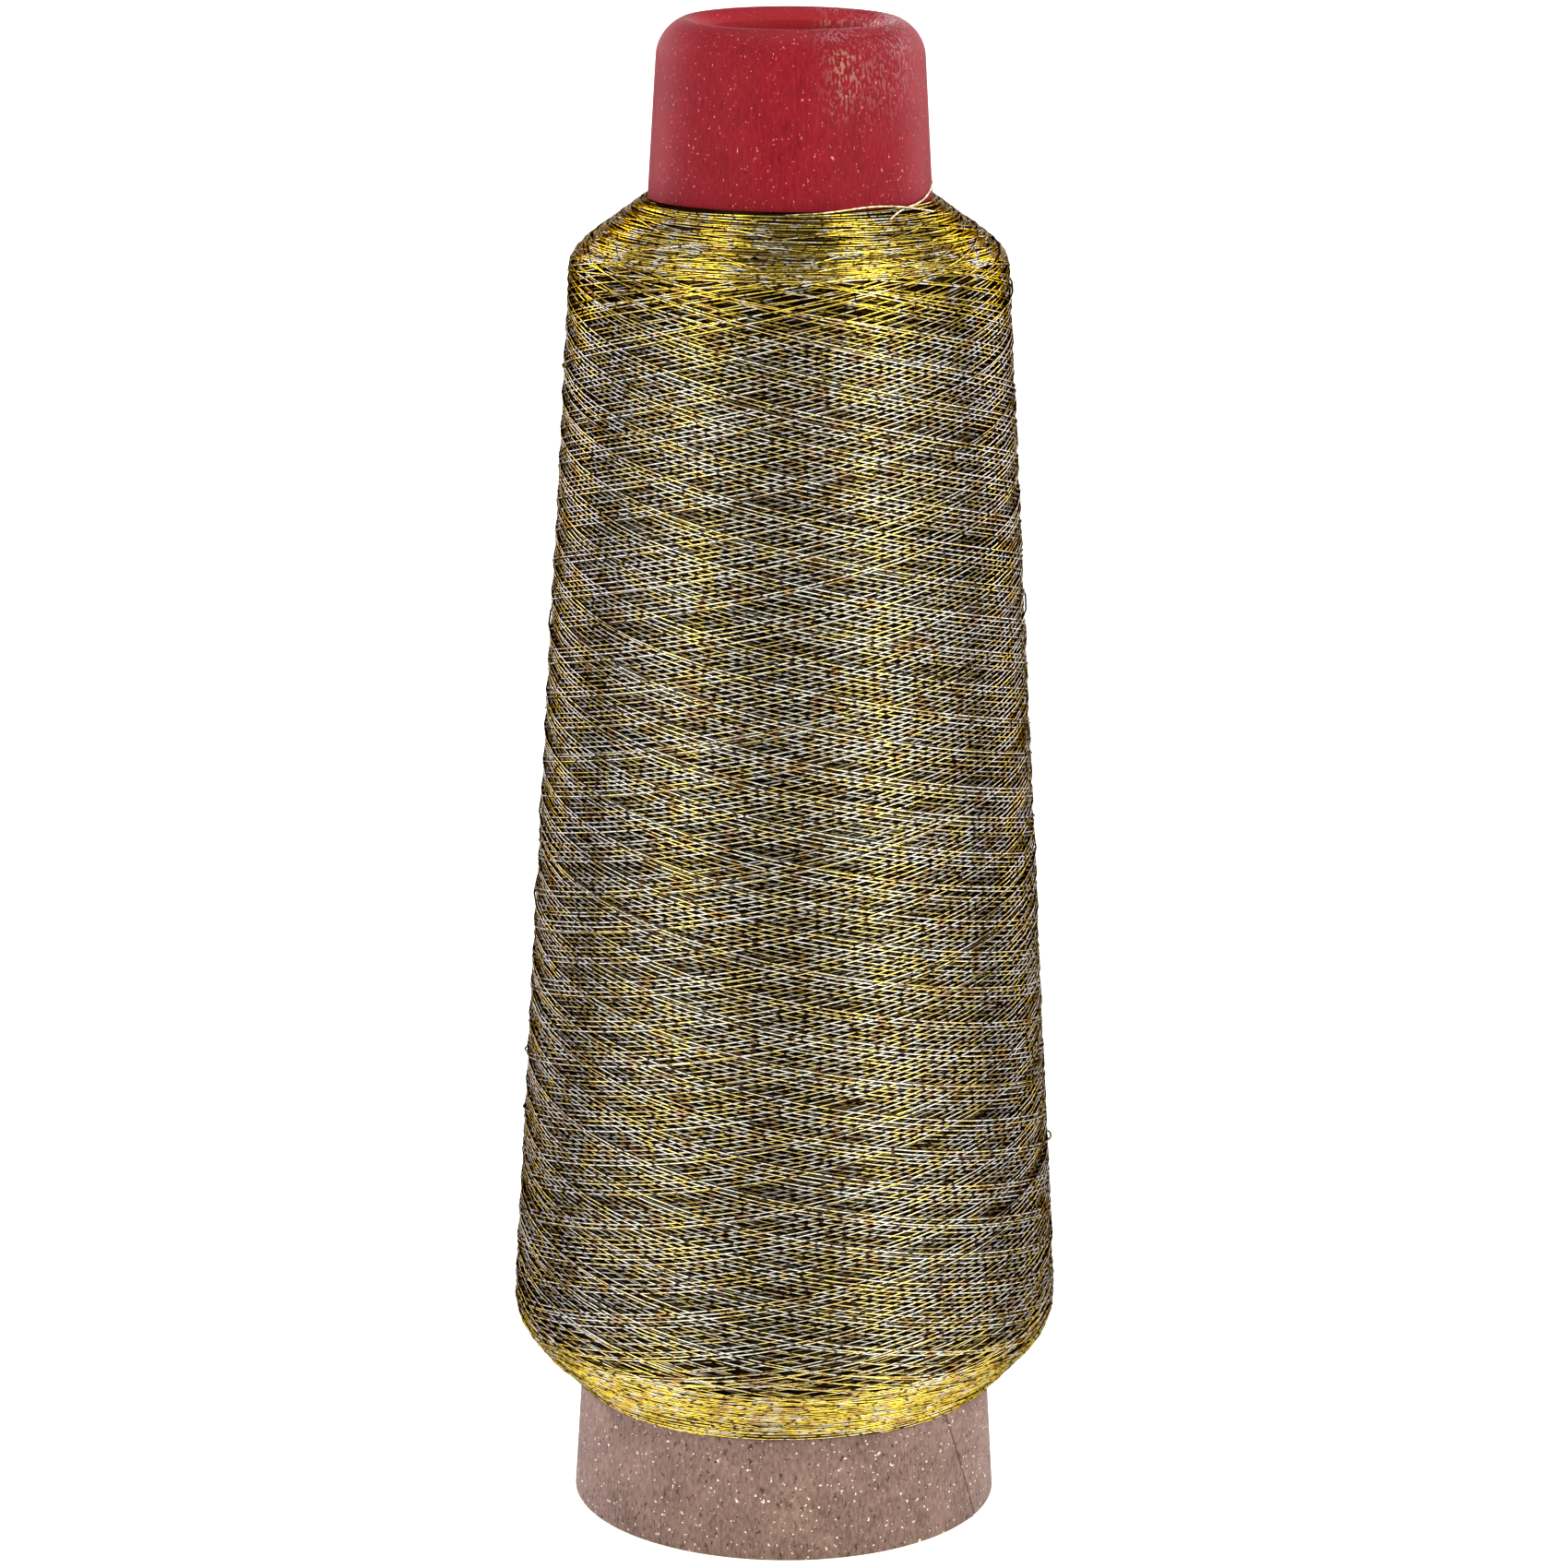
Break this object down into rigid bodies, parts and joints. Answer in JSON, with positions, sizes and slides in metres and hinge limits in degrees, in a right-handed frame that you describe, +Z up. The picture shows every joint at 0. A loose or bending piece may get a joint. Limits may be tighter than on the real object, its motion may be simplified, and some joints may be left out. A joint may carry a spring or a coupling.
{
  "type": "spool of thread",
  "caption": "Tall tapered paper cone with a rounded coloured nose, cross-wound with metallic embroidery thread, standing on its open wide end.",
  "frame": {"origin": "middle of the wide end's rim, on the surface that the cone stands on", "axes": "+Z up the cone's axis towards the nose, -Y towards the viewer, +X to the right"},
  "size_m": [0.0626, 0.0626, 0.1701],
  "materials": {
    "cone_paper": "matt recycled board with light and dark flecks",
    "nose_colour": "crimson dye on burnished board, slightly glossy",
    "thread": "metallised film wrapped on a fine yarn, antique gold"
  },
  "bodies": {
    "root": {"outer_ply": "cone_paper", "third_ply": "cone_paper", "second_ply": "cone_paper", "inner_ply": "cone_paper", "nose_colour_coat": "nose_colour", "starting_bunch": "thread", "winding_core": "thread", "winding_surface": "thread"}
  },
  "joints": []
}
